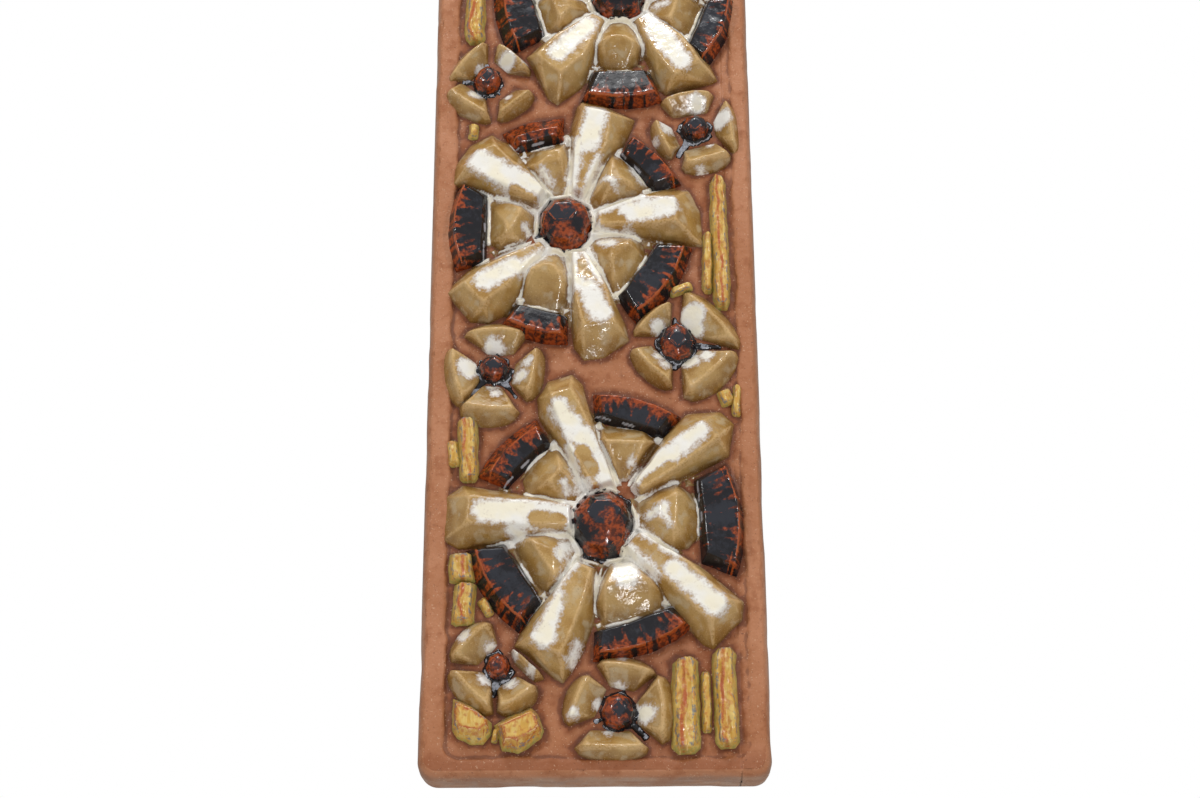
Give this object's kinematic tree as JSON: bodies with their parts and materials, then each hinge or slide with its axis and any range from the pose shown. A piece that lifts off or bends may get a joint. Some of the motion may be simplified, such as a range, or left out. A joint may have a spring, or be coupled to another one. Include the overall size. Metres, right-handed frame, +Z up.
{
  "type": "wall_plaque",
  "caption": "Tall stoneware wall plaque with stylised flowers and ribbed bars carved in high relief, glazed tan, white and near black on a sunk bare clay ground; flat back, hangs upright.",
  "frame": {"origin": "The middle of the flat back, where the plaque rests on the wall (mount wall_back).", "axes": "+Z up the length of the plaque, +Y out of the back into the wall, +X across it, to the right as seen from the front."},
  "size_m": [0.144, 0.032, 0.464],
  "materials": {
    "clay": "matte",
    "tan_glaze": "gloss",
    "dark_glaze": "gloss",
    "yellow_glaze": "gloss"
  },
  "bodies": {
    "root": {"plaque": "clay"}
  },
  "joints": []
}
